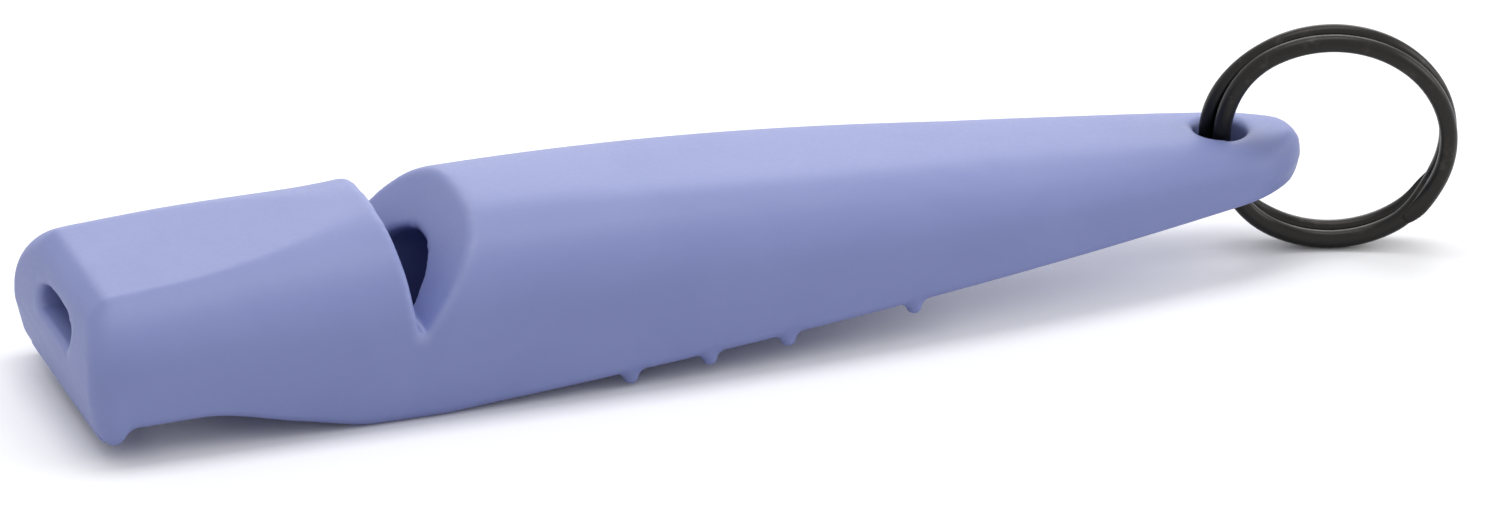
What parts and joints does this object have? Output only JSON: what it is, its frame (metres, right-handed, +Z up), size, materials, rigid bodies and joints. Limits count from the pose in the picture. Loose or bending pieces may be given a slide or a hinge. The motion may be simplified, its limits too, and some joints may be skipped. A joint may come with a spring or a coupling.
{
  "type": "dog whistle",
  "caption": "Moulded pealess dog whistle: bite mouthpiece with a windway, a notch with a sloped voicing edge over the tone chamber, and a tapering tail with a split ring in its eye.",
  "frame": {"origin": "middle of the flat under the belly, where the whistle rests on a table", "axes": "+X from the mouth to the tail, +Z up out of the table, +Y across the body to the left of someone looking from the mouth to the tail"},
  "size_m": [0.0924, 0.0186, 0.0161],
  "materials": {
    "lilac_abs": "satin moulded ABS in lilac blue",
    "black_steel": "black finished spring steel wire"
  },
  "bodies": {
    "whistle": {"body": "lilac_abs", "base_cover": "lilac_abs", "fipple_block": "lilac_abs"},
    "ring": {"split_ring": "black_steel"}
  },
  "joints": [
    {"name": "ring_swing", "type": "hinge", "parent": "whistle", "child": "ring", "pos_m": [0.05645, 0, 0.0067], "axis": [0, 0, 1], "range_deg": [-124, 154]}
  ]
}
